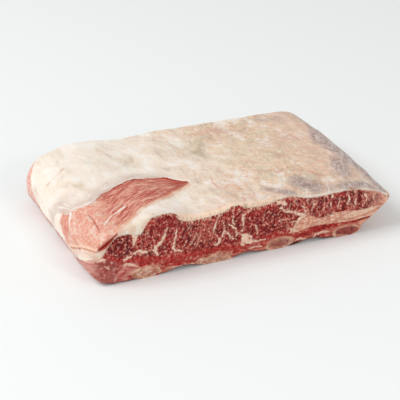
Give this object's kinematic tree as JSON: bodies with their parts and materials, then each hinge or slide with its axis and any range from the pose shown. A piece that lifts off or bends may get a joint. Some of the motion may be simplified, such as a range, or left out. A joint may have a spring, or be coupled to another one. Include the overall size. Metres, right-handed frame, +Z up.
{
  "type": "beef short rib slab",
  "caption": "Raw beef short rib slab with a fat cap, a trimmed window on the surface muscle, a marbled cut face and rib bones cut flush along the bottom.",
  "frame": {"origin": "on the table under the middle of the slab's bounding box", "axes": "+X across the ribs towards the thin right end, +Y along the ribs away from the cut face, +Z up"},
  "size_m": [0.2956, 0.19, 0.0591],
  "materials": {
    "cap_fat": "moist cream to beige fat",
    "lean_surface": "moist salmon-pink muscle with lengthwise fibres",
    "marbled_meat": "moist deep red muscle with cream marbling",
    "seam_fat": "moist peach fat",
    "rib_meat": "moist red muscle",
    "bone": "sawn bone, slightly damp"
  },
  "bodies": {
    "root": {"fat_cap": "cap_fat", "surface_muscle": "lean_surface", "main_muscle": "marbled_meat", "seam_fat": "seam_fat", "rib_muscle": "rib_meat", "rib_bone_1": "bone", "rib_bone_2": "bone", "rib_bone_3": "bone", "rib_bone_4": "bone"}
  },
  "joints": []
}
